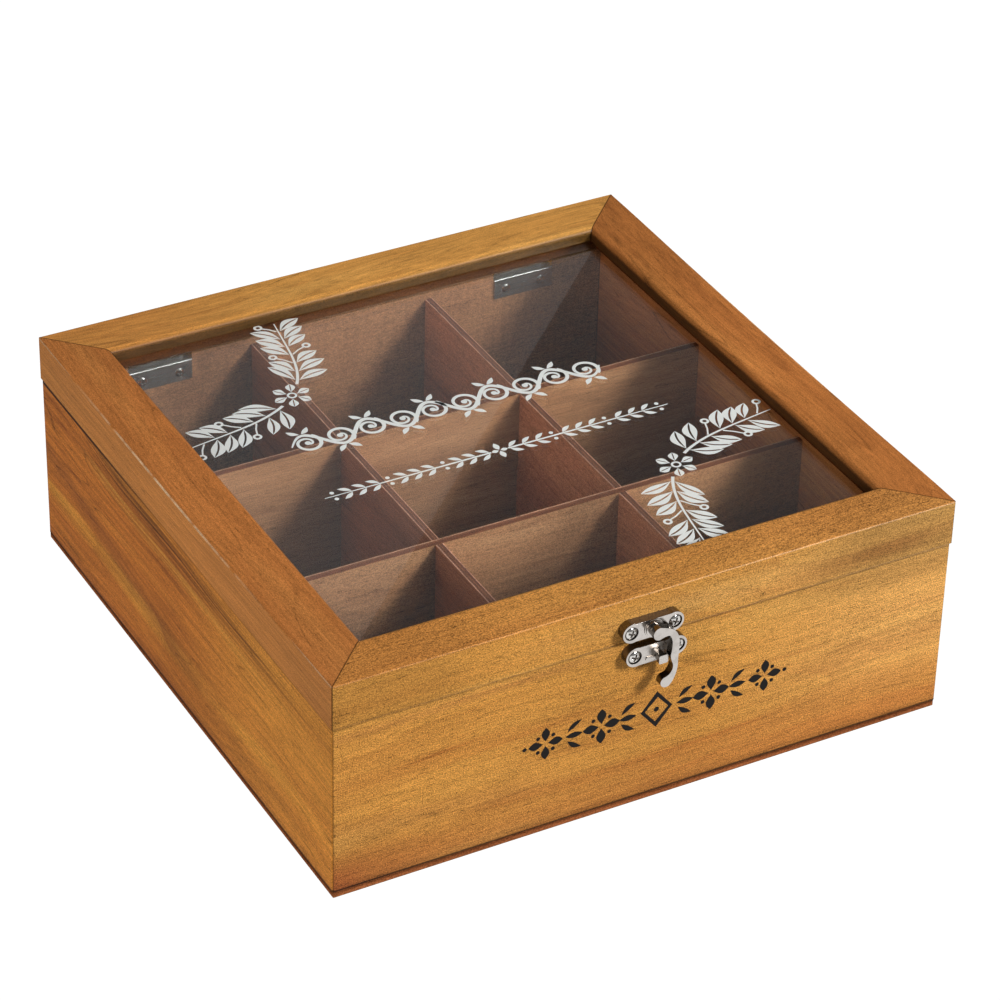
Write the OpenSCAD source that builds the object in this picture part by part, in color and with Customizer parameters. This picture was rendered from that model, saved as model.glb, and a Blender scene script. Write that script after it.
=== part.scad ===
// Tea bag organizer box: a square nine-compartment wooden box with a mitred,
// glazed lid on two stop hinges and a small swing-hook clasp on the front.
// Millimetres, +Z up. The origin is the centre of the underside, on the table.
// The front, with the clasp, faces -Y. The lid turns about an axis behind the rear wall.

/* [Case] */
// Outer width and depth of the lid, the widest part of the box
lid_size = 240; // [232:1:250]
// How far the case stands back from the lid on each side
case_inset = 0.5; // [0.3:0.1:0.7]
// Height of the case from the table to the lid
case_h = 70.5; // [66:0.5:90]
// Thickness of the four case walls
wall_t = 9; // [8.5:0.5:10]
// Thickness of the base panel under the walls
base_t = 3; // [3:0.5:5]
// Radius of the rounded bottom edge
base_r = 1.6; // [1:0.1:2]

/* [Dividers] */
// Thickness of the four divider boards
divider_t = 3; // [2.5:0.1:4]
// Distance of each divider board from the middle of the box
divider_off = 36.5; // [34:0.5:38]
// How far the set of dividers sits to the right of the middle
crate_dx = -1.1; // [-1.5:0.1:1.5]
// How far the set of dividers sits to the rear of the middle
crate_dy = 0.5; // [-1.5:0.1:1.5]
// How far the dividers stop below the rim of the case
divider_drop = 3.5; // [2:0.5:8]

/* [Lid] */
// Height of the lid
lid_h = 17.5; // [17:0.5:22]
// Width of the mitred frame, seen from above
frame_w = 20.5; // [18:0.5:26]
// Thickness of the frame's rim where it overlaps the glass
rim_t = 5.5; // [4.5:0.1:6]
// Thickness of the skirt below the rim
skirt_t = 9; // [8.5:0.5:10]
// Radius of the rounded inner edge of the rim
rim_r = 2.5; // [1:0.1:4]
// Width of the sanded facet at the middle of the two side members
facet_w = 3; // [1:0.5:4]
// Depth of that facet on the outer face
facet_h = 1.3; // [0.5:0.1:2]
// Thickness of the glass
glass_t = 2; // [2:0.1:3]
// Width of the wooden strips that hold the glass from below
bead_w = 6; // [5:0.5:8]
// Height of those strips
bead_h = 6.5; // [5:0.5:6.5]

/* [Hinges] */
// Distance of each hinge from the middle of the box
hinge_x = 76.2; // [60:0.1:85]
// Width of a hinge
hinge_w = 25.2; // [20:0.1:32]
// Thickness of the hinge sheet
leaf_t = 0.7; // [0.6:0.05:0.8]
// Outer radius of the hinge barrel
barrel_r = 1.7; // [1.6:0.05:1.8]
// Radius of the hinge pin
pin_r = 1.0; // [0.8:0.05:1.0]
// Height of the leaf plates on the wood
leaf_h = 7.7; // [7:0.1:9]

/* [Clasp] */
// Distance between the two screws of a clasp plate
clasp_pitch = 16.8; // [15:0.2:20]
// Thickness of the clasp plates
clasp_t = 3.4; // [2.6:0.1:3.5]
// Radius of the round ends of the plates
lobe_r = 3.8; // [3.5:0.1:4.2]
// Sideways place of the upper plate and of the hook's pivot
plate_x = -2.2; // [-3:0.1:3]
// Height of the hook's pivot above the table
plate_z = 76.1; // [75.5:0.1:77]
// Thickness of the hook
hook_t = 3; // [2.4:0.1:3.2]

/* [Hidden] */
$fn = 64;

half = lid_size / 2;                       // outer face of the lid
chalf = half - case_inset;                 // outer face of the case
inner = chalf - wall_t;                    // inner face of the case walls
lid_top = case_h + lid_h;
glass_z = lid_top - rim_t;                 // top face of the glass
bead_z = glass_z - glass_t - bead_h;       // underside of the glass strips
skirt_in = half - skirt_t;                 // inner face of the lid's skirt
axis_y = half + 0.3 + barrel_r;            // hinge axis, behind the rear face
axis_z = case_h - barrel_r;                // and just under the rim
notch_z = case_h - 2 * barrel_r;           // bottom of the hinge notches
finger = hinge_w / 3;                      // length of the middle knuckle
catch_x = plate_x + 2;
catch_z = plate_z - 10.7;
stud = [plate_x + 2.7, plate_z - 12];      // catch stud
hook_back = -half - 4.4;                   // back face of the hook
screw_r = 1.1;
pilot_r = 0.95;
screw_len = 7.5;

// ---------- helpers ----------

// Keeps the quarter of the box between two diagonals, so that the ends are mitred.
module mitre_wedge(s) {
  translate([0, 0, -1]) linear_extrude(lid_top + 2)
    polygon([[0, 0], [-s, -s], [s, -s]]);
}

// Square with four rounded corners, drawn from its centre.
module soft_square(s, r) {
  square([2 * s - 2 * r, 2 * s], center = true);
  square([2 * s, 2 * s - 2 * r], center = true);
  for (i = [-1, 1], j = [-1, 1]) translate([i * (s - r), j * (s - r)]) circle(r);
}

// What a rounded corner removes from a section: p is the corner, d points into the wood.
module corner_waste(p, d, r) {
  difference() {
    translate([p[0] + (d[0] > 0 ? -0.5 : -r), p[1] + (d[1] > 0 ? -0.5 : -r)]) square([r + 0.5, r + 0.5]);
    translate([p[0] + d[0] * r, p[1] + d[1] * r]) circle(r);
  }
}

// Section of a case wall: x is the distance in from the outer face, y is the height.
module wall_section() {
  difference() {
    translate([0, base_t]) square([wall_t, case_h - base_t]);
    corner_waste([0, case_h], [1, -1], 0.6);
    corner_waste([0, base_t], [1, 1], 0.35);
    corner_waste([wall_t, case_h], [-1, -1], 0.6);
  }
}

// Section of a lid frame member.
module frame_section() {
  difference() {
    union() {
      translate([0, case_h]) square([skirt_t, lid_h]);
      translate([0, glass_z]) square([frame_w, rim_t]);
    }
    corner_waste([0, case_h], [1, 1], 0.6);
    corner_waste([0, lid_top], [1, -1], 0.6);
    corner_waste([skirt_t, case_h], [-1, 1], 0.4);
    corner_waste([frame_w, lid_top], [-1, -1], rim_r);
    corner_waste([frame_w, glass_z], [-1, 1], 0.4);
  }
}

// A section swept along the front side of a square whose outer face is s from the middle.
module front_run(s) {
  intersection() {
    translate([-s, -s, 0]) rotate([90, 0, 90]) linear_extrude(2 * s) children();
    mitre_wedge(s);
    translate([0, 0, -1]) linear_extrude(lid_top + 2) soft_square(s, 1.2);
  }
}

// Wood screw along +Y with its head towards -Y and its bearing face at y = 0.
module screw(head_r = 2.0, head_h = 0.95, rim = 0.25, len = screw_len) {
  cap_h = head_h - rim;
  cap_r = (head_r * head_r + cap_h * cap_h) / (2 * cap_h);
  difference() {
    union() {
      translate([0, -rim, 0]) rotate([-90, 0, 0]) cylinder(h = rim, r = head_r);
      intersection() {
        translate([0, -rim - cap_h + cap_r, 0]) sphere(cap_r);
        translate([0, -head_h - 0.1, 0]) rotate([-90, 0, 0]) cylinder(h = cap_h + 0.1, r = head_r);
      }
      rotate([-90, 0, 0]) translate([0, 0, -0.05]) cylinder(h = len - 1.55, r = screw_r);
      rotate([-90, 0, 0]) translate([0, 0, len - 1.6]) cylinder(h = 1.5, r1 = screw_r, r2 = 0.15);
    }
    for (a = [0, 90]) translate([0, -head_h, 0]) rotate([0, a + 20, 0])
      cube([1.32 * head_r, 1.2, 0.75], center = true);
  }
}

// Pilot hole along +Y for such a screw.
module pilot() {
  rotate([-90, 0, 0]) translate([0, 0, -1]) cylinder(h = screw_len + 1.2, r = pilot_r);
}

// ---------- case ----------

module wall_front() color("goldenrod") difference() {
  front_run(chalf) wall_section();
  for (i = [-1, 1]) translate([catch_x + i * clasp_pitch / 2, -chalf, catch_z]) pilot();
}

module wall_rear() color("goldenrod") difference() {
  rotate([0, 0, 180]) front_run(chalf) wall_section();
  for (i = [-1, 1]) {
    // notch that lets the hinge leaves through
    translate([i * hinge_x - hinge_w / 2 - 0.3, inner - 1, notch_z]) cube([hinge_w + 0.6, wall_t + 2, 2 * barrel_r + 1]);
    for (j = [-1, 1]) translate([i * hinge_x + j * 7.5, inner, axis_z - 5.6]) pilot();
  }
}

module wall_left() color("peru") rotate([0, 0, -90]) front_run(chalf) wall_section();

module wall_right() color("peru") rotate([0, 0, 90]) front_run(chalf) wall_section();

// The base panel is flush with the walls and rounded along its lower edge.
module base_section() {
  difference() {
    translate([-chalf, 0]) square([2 * chalf, base_t]);
    corner_waste([-chalf, 0], [1, 1], base_r);
    corner_waste([chalf, 0], [-1, 1], base_r);
    corner_waste([-chalf, base_t], [1, -1], 0.35);
    corner_waste([chalf, base_t], [-1, -1], 0.35);
  }
}

module base_panel() color("sienna") intersection() {
  translate([0, chalf, 0]) rotate([90, 0, 0]) linear_extrude(2 * chalf) base_section();
  translate([-chalf, 0, 0]) rotate([90, 0, 90]) linear_extrude(2 * chalf) base_section();
  translate([0, 0, -1]) linear_extrude(base_t + 2) soft_square(chalf, 1.6);
}

// A divider board across the box along X. Its slots are open at the bottom,
// or at the top for the boards that cross it; s is how far the slots are shifted.
module divider(slots_up, s) {
  top = case_h - divider_drop;
  mid = (base_t + top) / 2;
  difference() {
    translate([-inner, -divider_t / 2, base_t]) cube([2 * inner, divider_t, top - base_t]);
    for (i = [-1, 1]) translate([s + i * divider_off - divider_t / 2 - 0.1, -divider_t, slots_up ? mid : base_t - 1])
      cube([divider_t + 0.2, 2 * divider_t, (slots_up ? top - mid : mid - base_t) + 1]);
  }
}

module divider_x_front() color("saddlebrown") translate([0, crate_dy - divider_off, 0]) divider(false, crate_dx);
module divider_x_rear() color("saddlebrown") translate([0, crate_dy + divider_off, 0]) divider(false, crate_dx);
module divider_y_left() color("saddlebrown") translate([crate_dx - divider_off, 0, 0]) rotate([0, 0, 90]) divider(true, crate_dy);
module divider_y_right() color("saddlebrown") translate([crate_dx + divider_off, 0, 0]) rotate([0, 0, 90]) divider(true, crate_dy);

// ---------- lid ----------

module lid_frame_front() color("goldenrod") difference() {
  front_run(half) frame_section();
  for (i = [-1, 1]) translate([plate_x + i * clasp_pitch / 2, -half, plate_z]) pilot();
}

module lid_frame_rear() color("goldenrod") difference() {
  rotate([0, 0, 180]) front_run(half) frame_section();
  for (i = [-1, 1], j = [-1, 1]) translate([i * hinge_x + j * 7.5, skirt_in, axis_z + 5.8]) pilot();
}

// The two side members are sanded to a shallow facet that fades out at the corners.
module side_member() {
  r_top = (half * half + facet_w * facet_w) / (2 * facet_w);
  difference() {
    front_run(half) frame_section();
    translate([0, -half + facet_w - r_top, lid_top - facet_h - 1])
      cylinder(h = facet_h + 2, r1 = r_top - facet_w * (1 + 1 / facet_h), r2 = r_top + facet_w / facet_h, $fn = 1440);
  }
}

module lid_frame_left() color("chocolate") rotate([0, 0, -90]) side_member();
module lid_frame_right() color("chocolate") rotate([0, 0, 90]) side_member();

module glass_pane() color("lightcyan", 0.35)
  translate([-skirt_in + 0.2, -skirt_in + 0.2, glass_z - glass_t])
    cube([2 * skirt_in - 0.4, 2 * skirt_in - 0.4, glass_t]);

// The strip that holds the glass is glued inside the skirt.
module bead_section() {
  difference() {
    translate([0, bead_z]) square([bead_w, bead_h]);
    corner_waste([bead_w, bead_z], [-1, 1], 0.8);
  }
}

module glass_bead_front() color("sienna") front_run(skirt_in) bead_section();

// The rear strip is relieved behind, over the hinge leaves and their screws.
module glass_bead_rear() color("sienna") difference() {
  rotate([0, 0, 180]) front_run(skirt_in) bead_section();
  for (i = [-1, 1]) translate([i * hinge_x - hinge_w / 2 - 0.5, skirt_in - 2.2, bead_z - 1])
    cube([hinge_w + 1, 3, axis_z + barrel_r + leaf_h - bead_z + 1.6]);
}

module glass_bead_left() color("sienna") rotate([0, 0, -90]) front_run(skirt_in) bead_section();
module glass_bead_right() color("sienna") rotate([0, 0, 90]) front_run(skirt_in) bead_section();

// ---------- hinges ----------
// Sections lie in (y, z) from the hinge axis; children are swept along X.

module along_x(x0, x1) translate([x0, axis_y, axis_z]) rotate([90, 0, 90]) linear_extrude(x1 - x0) children();

module case_leaf_section() {
  yi = inner - axis_y;
  translate([yi - leaf_t, -barrel_r - leaf_h]) square([leaf_t, leaf_h]);
  intersection() {
    translate([yi, -barrel_r]) circle(leaf_t);
    translate([yi - leaf_t, -barrel_r]) square([leaf_t, leaf_t]);
  }
  translate([yi, -barrel_r]) square([-2.4 - yi, leaf_t]);
}

module lid_leaf_section() {
  yi = skirt_in - axis_y;
  translate([yi - leaf_t, barrel_r]) square([leaf_t, leaf_h]);
  intersection() {
    translate([yi, barrel_r]) circle(leaf_t);
    translate([yi - leaf_t, barrel_r - leaf_t]) square([leaf_t, leaf_t]);
  }
  translate([yi, barrel_r - leaf_t]) square([-2.4 - yi, leaf_t]);
}

// A knuckle with the tongue of sheet that joins it to its leaf; side is -1 below, 1 above.
module knuckle_section(side, bore) {
  difference() {
    union() {
      circle(barrel_r);
      translate([-2.6, side > 0 ? barrel_r - leaf_t : -barrel_r]) square([2.6, leaf_t]);
    }
    circle(bore);
  }
}

module case_leaf(cx) difference() {
  union() {
    along_x(cx - hinge_w / 2, cx + hinge_w / 2) case_leaf_section();
    for (i = [-1, 1])
      along_x(cx + i * (finger / 2 + 0.1) - (i < 0 ? finger - 0.1 : 0), cx + i * (finger / 2 + 0.1) + (i > 0 ? finger - 0.1 : 0))
        knuckle_section(-1, pin_r - 0.02);
  }
  for (j = [-1, 1]) translate([cx + j * 7.5, inner - 2, axis_z - 5.6]) rotate([-90, 0, 0]) cylinder(h = 3, r = screw_r + 0.15);
}

module lid_leaf(cx) difference() {
  union() {
    along_x(cx - hinge_w / 2, cx + hinge_w / 2) lid_leaf_section();
    along_x(cx - finger / 2 + 0.1, cx + finger / 2 - 0.1) knuckle_section(1, pin_r + 0.05);
    // stop lug: meets the edge of the case leaf a little past 95 degrees
    along_x(cx - finger / 2 + 0.1, cx + finger / 2 - 0.1)
      translate([barrel_r - 0.6, -2.2]) square([0.6, 1.9]);
  }
  for (j = [-1, 1]) translate([cx + j * 7.5, skirt_in - 2, axis_z + 5.8]) rotate([-90, 0, 0]) cylinder(h = 3, r = screw_r + 0.15);
}

module hinge_left_case_leaf() color("lightslategray") case_leaf(-hinge_x);
module hinge_right_case_leaf() color("lightslategray") case_leaf(hinge_x);
module hinge_left_lid_leaf() color("lightslategray") lid_leaf(-hinge_x);
module hinge_right_lid_leaf() color("lightslategray") lid_leaf(hinge_x);

module pin(cx) translate([cx - hinge_w / 2, axis_y, axis_z]) rotate([0, 90, 0]) cylinder(h = hinge_w, r = pin_r);
module hinge_left_pin() color("silver") pin(-hinge_x);
module hinge_right_pin() color("silver") pin(hinge_x);

module hinge_case_screws() color("silver")
  for (i = [-1, 1], j = [-1, 1]) translate([i * hinge_x + j * 7.5, inner - leaf_t, axis_z - 5.6]) screw(1.75, 0.8);

module hinge_lid_screws() color("silver")
  for (i = [-1, 1], j = [-1, 1]) translate([i * hinge_x + j * 7.5, skirt_in - leaf_t, axis_z + 5.8]) screw(1.75, 0.8);

// ---------- clasp ----------
// Drawn in (x, z) seen from the front and given a thickness along Y.

module plate(y_front, t) translate([0, y_front + t, 0]) rotate([90, 0, 0]) linear_extrude(t) children();

module plate_outline() {
  for (i = [-1, 1]) translate([i * (clasp_pitch / 2 - 0.45), 0]) circle(lobe_r);
  square([clasp_pitch - 0.9, 2 * lobe_r - 0.4], center = true);
}

module soft_plate(w, h, r) {
  square([2 * w, 2 * h - 2 * r], center = true);
  square([2 * w - 2 * r, 2 * h], center = true);
  for (i = [-1, 1], j = [-1, 1]) translate([i * (w - r), j * (h - r)]) circle(r);
}

// Clearance holes and shallow seats for the two screws of a plate that lies on face y.
module plate_holes(y) {
  for (i = [-1, 1]) {
    translate([i * clasp_pitch / 2, y - clasp_t - 1, 0]) rotate([-90, 0, 0]) cylinder(h = clasp_t + 2, r = screw_r + 0.2);
    translate([i * clasp_pitch / 2, y - clasp_t - 1, 0]) rotate([-90, 0, 0]) cylinder(h = 1.7, r = 2.6);
  }
}

module clasp_plate() color("gainsboro") translate([plate_x, 0, plate_z]) difference() {
  union() {
    plate(-half - clasp_t, clasp_t) plate_outline();
    plate(-half - clasp_t - 0.35, 1) circle(lobe_r - 0.2);
    plate(hook_back + 0.1, -half - clasp_t - hook_back + 0.1) circle(3.2);
  }
  plate_holes(-half);
  // bore of the pivot, with room behind it for the peened end
  plate(-half - 5, 6) circle(1.35);
  plate(-half - 1.2, 2) circle(2.4);
}

module catch_plate() color("gainsboro") union() {
  translate([catch_x, 0, catch_z]) difference() {
    union() {
      plate(-chalf - clasp_t, clasp_t) plate_outline();
      // small raised oblong beside the stud
      translate([-2.5, 0, -1.9]) plate(-chalf - clasp_t - 0.4, 1) {
        square([2.2, 1.5], center = true);
        for (i = [-1, 1]) translate([i * 1.1, 0]) circle(0.75);
      }
    }
    plate_holes(-chalf);
  }
  // stud: a square post with a slightly wider head
  translate([stud[0], 0, stud[1]]) {
    plate(-half - 5, 3) soft_plate(1.4, 1.3, 0.5);
    plate(-half - 6.4, 1.6) soft_plate(1.75, 1.65, 0.6);
  }
}

module clasp_screws() color("silver")
  for (i = [-1, 1]) translate([plate_x + i * clasp_pitch / 2, -half - clasp_t + 0.7, plate_z]) screw(2.15, 1.15, 0.45);

module catch_screws() color("silver")
  for (i = [-1, 1]) translate([catch_x + i * clasp_pitch / 2, -chalf - clasp_t + 0.7, catch_z]) screw(2.15, 1.15, 0.45);

// Catmull-Rom curve through the points p, each [x, z, half width].
function clampi(i, n) = max(0, min(n - 1, i));
function spline(p, i, t) = let (n = len(p), a = p[clampi(i - 1, n)], b = p[i], c = p[clampi(i + 1, n)], d = p[clampi(i + 2, n)])
  0.5 * (2 * b + (c - a) * t + (2 * a - 5 * b + 4 * c - d) * t * t + (3 * b - a - 3 * c + d) * t * t * t);

// A flat band along such a curve, with round ends.
module band(p, m = 4) {
  q = concat([for (i = [0:len(p) - 2], k = [0:m - 1]) spline(p, i, k / m)], [p[len(p) - 1]]);
  n = len(q);
  dir = [for (i = [0:n - 1]) let (d = q[clampi(i + 1, n)] - q[clampi(i - 1, n)]) [d[0], d[1]] / norm([d[0], d[1]])];
  left = [for (i = [0:n - 1]) [q[i][0] - dir[i][1] * q[i][2], q[i][1] + dir[i][0] * q[i][2]]];
  right = [for (i = [n - 1:-1:0]) [q[i][0] + dir[i][1] * q[i][2], q[i][1] - dir[i][0] * q[i][2]]];
  a1 = atan2(dir[n - 1][1], dir[n - 1][0]);
  a0 = atan2(dir[0][1], dir[0][0]);
  cap1 = [for (k = [1:9]) [q[n - 1][0], q[n - 1][1]] + q[n - 1][2] * [cos(a1 + 90 - 18 * k), sin(a1 + 90 - 18 * k)]];
  cap0 = [for (k = [1:11]) [q[0][0], q[0][1]] + q[0][2] * [cos(a0 - 90 - 15 * k), sin(a0 - 90 - 15 * k)]];
  polygon(concat(left, cap1, right, cap0));
}

// The hook hangs from its pivot, runs down beside the stud and curls in below it, so that
// the lid can't lift. Swung to the side it clears the stud.
module clasp_hook() color("gainsboro") translate([plate_x, 0, plate_z]) {
  union() {
    plate(hook_back - hook_t, hook_t) {
      band([[0.2, -0.2, 2.5], [2.4, -0.3, 1.75], [4.5, -0.9, 1.3], [5.9, -2.6, 1.3], [6.6, -5.0, 1.35],
            [6.6, -8.0, 1.4], [6.35, -10.8, 1.5], [6.5, -12.6, 1.25], [6.8, -14.5, 0.95], [6.65, -16.6, 0.95],
            [5.8, -18.6, 1.25], [4.7, -20.0, 1.75], [3.5, -20.9, 2.2]]);
    }
    // pivot, peened over behind the plate
    plate(hook_back - 0.5, -half - 0.9 - hook_back + 0.5) circle(1.3);
    plate(-half - 1.0, 0.8) circle(2.1);
  }
}

wall_front();
wall_rear();
wall_left();
wall_right();
base_panel();
divider_x_front();
divider_x_rear();
divider_y_left();
divider_y_right();
hinge_left_case_leaf();
hinge_right_case_leaf();
hinge_left_pin();
hinge_right_pin();
hinge_case_screws();
catch_plate();
catch_screws();
lid_frame_front();
lid_frame_rear();
lid_frame_left();
lid_frame_right();
glass_pane();
glass_bead_front();
glass_bead_rear();
glass_bead_left();
glass_bead_right();
hinge_left_lid_leaf();
hinge_right_lid_leaf();
hinge_lid_screws();
clasp_plate();
clasp_screws();
clasp_hook();
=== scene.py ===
import math
import random

import bpy
import bmesh
from mathutils import Matrix, Vector


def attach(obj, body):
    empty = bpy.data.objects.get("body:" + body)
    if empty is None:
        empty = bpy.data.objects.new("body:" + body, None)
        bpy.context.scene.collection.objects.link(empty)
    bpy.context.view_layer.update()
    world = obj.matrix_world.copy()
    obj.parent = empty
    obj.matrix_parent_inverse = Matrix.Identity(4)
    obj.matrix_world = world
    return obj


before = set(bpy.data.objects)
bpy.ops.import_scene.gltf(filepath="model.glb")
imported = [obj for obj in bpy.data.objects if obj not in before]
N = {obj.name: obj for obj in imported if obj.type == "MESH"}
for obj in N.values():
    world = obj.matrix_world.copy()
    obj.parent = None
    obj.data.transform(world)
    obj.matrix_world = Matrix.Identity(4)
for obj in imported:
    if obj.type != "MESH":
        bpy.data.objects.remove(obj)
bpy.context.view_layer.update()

# ------------------------------------------------------------------ main sizes, in mm
HALF = 120.0        # outer face of the lid
CHALF = 119.5       # outer face of the case
TOP = 88.0          # top of the lid
SPLIT = 70.5        # line between case and lid
GLASS = 82.5        # top face of the glass
RIM = 99.5          # inner edge of the lid frame
MM = 0.001

# ------------------------------------------------------------------ shader helpers


class Graph:
    """A material with short calls for its nodes. A value is a number, a vector or a socket."""

    def __init__(self, name):
        self.mat = bpy.data.materials.new(name)
        self.mat.use_nodes = True
        self.nodes = self.mat.node_tree.nodes
        self.links = self.mat.node_tree.links
        self.nodes.clear()

    def add(self, kind, **props):
        n = self.nodes.new(kind)
        for k, v in props.items():
            setattr(n, k, v)
        return n

    def put(self, socket, value):
        if isinstance(value, bpy.types.NodeSocket):
            self.links.new(value, socket)
        elif isinstance(value, (tuple, list)) and socket.type == "RGBA" and len(value) == 3:
            socket.default_value = (*value, 1.0)
        else:
            socket.default_value = value

    def m(self, op, a, b=None, c=None, clamp=False):
        n = self.add("ShaderNodeMath", operation=op, use_clamp=clamp)
        for i, v in enumerate((a, b, c)):
            if v is not None:
                self.put(n.inputs[i], v)
        return n.outputs[0]

    def sum(self, *terms):
        out = terms[0]
        for t in terms[1:]:
            out = self.m("ADD", out, t)
        return out

    def prod(self, *terms):
        out = terms[0]
        for t in terms[1:]:
            out = self.m("MULTIPLY", out, t)
        return out

    def vec(self, x, y, z):
        n = self.add("ShaderNodeCombineXYZ")
        for i, v in enumerate((x, y, z)):
            self.put(n.inputs[i], v)
        return n.outputs[0]

    def step(self, x, lo, hi, a=0.0, b=1.0):
        """Smooth step from a at lo to b at hi."""
        n = self.add("ShaderNodeMapRange", interpolation_type="SMOOTHSTEP")
        if lo > hi:
            lo, hi, a, b = hi, lo, b, a
        for i, v in enumerate((x, lo, hi, a, b)):
            self.put(n.inputs[i], v)
        return n.outputs[0]

    def noise(self, v, scale=1.0, detail=2.0, rough=0.5, distort=0.0, four=None):
        n = self.add("ShaderNodeTexNoise", noise_dimensions="3D")
        self.put(n.inputs["Vector"], v)
        n.inputs["Scale"].default_value = scale
        n.inputs["Detail"].default_value = detail
        n.inputs["Roughness"].default_value = rough
        n.inputs["Distortion"].default_value = distort
        return n.outputs[0]

    def mix(self, fac, a, b, blend="MIX"):
        n = self.add("ShaderNodeMix", data_type="RGBA", blend_type=blend, clamp_factor=True)
        self.put(n.inputs[0], fac)
        self.put(n.inputs[6], a)
        self.put(n.inputs[7], b)
        return n.outputs[2]

    def scale_color(self, col, f):
        """Colour times a number."""
        n = self.add("ShaderNodeVectorMath", operation="SCALE")
        self.put(n.inputs[0], col)
        self.put(n.inputs["Scale"], f)
        return n.outputs[0]

    def bump(self, height, strength, distance):
        n = self.add("ShaderNodeBump")
        n.inputs["Strength"].default_value = strength
        n.inputs["Distance"].default_value = distance
        self.put(n.inputs["Height"], height)
        return n.outputs[0]

    def position(self):
        """x, y and z in mm at rest, fixed to the piece."""
        tc = self.add("ShaderNodeTexCoord")
        n = self.add("ShaderNodeVectorMath", operation="SCALE")
        self.put(n.inputs[0], tc.outputs["Object"])
        n.inputs["Scale"].default_value = 1000.0
        s = self.add("ShaderNodeSeparateXYZ")
        self.put(s.inputs[0], n.outputs[0])
        return n.outputs[0], s.outputs[0], s.outputs[1], s.outputs[2]

    def principled(self, color, rough, normal=None, **sockets):
        b = self.add("ShaderNodeBsdfPrincipled")
        self.put(b.inputs["Base Color"], color)
        self.put(b.inputs["Roughness"], rough)
        if normal is not None:
            self.put(b.inputs["Normal"], normal)
        for k, v in sockets.items():
            b.inputs[k.replace("_", " ")].default_value = v
        return b

    def output(self, shader):
        o = self.add("ShaderNodeOutputMaterial")
        self.links.new(shader, o.inputs["Surface"])
        return self.mat


def srgb(r, g, b):
    def f(c):
        c /= 255.0
        return c / 12.92 if c <= 0.04045 else ((c + 0.055) / 1.055) ** 2.4
    return (f(r), f(g), f(b))


# ------------------------------------------------------------------ wood


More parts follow.
